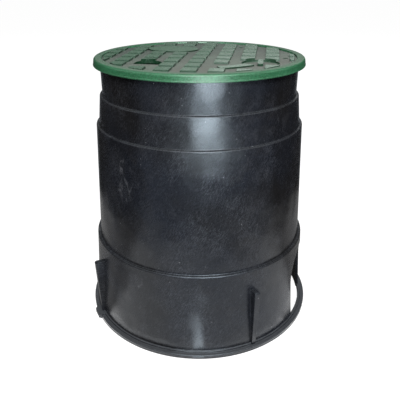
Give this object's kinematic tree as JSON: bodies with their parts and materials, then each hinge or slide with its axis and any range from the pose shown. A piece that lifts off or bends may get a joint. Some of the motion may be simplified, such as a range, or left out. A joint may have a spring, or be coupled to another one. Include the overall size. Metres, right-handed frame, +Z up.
{
  "type": "round inspection box",
  "caption": "Round stepped plastic inspection box for buried valves, open at the bottom, with arched pipe openings, a foot flange and a treaded lid that lifts off.",
  "frame": {"origin": "on the body's axis, on the ground under the foot flange", "axes": "+Z up along the body's axis, X through the two pipe openings, Y across them"},
  "size_m": [0.2082, 0.2082, 0.2273],
  "materials": {
    "body_plastic": "satin black polyethylene with handling scratches",
    "lid_plastic": "satin green polyethylene, dusty on top"
  },
  "bodies": {
    "root": {"box_body": "body_plastic", "lid": "lid_plastic"}
  },
  "joints": []
}
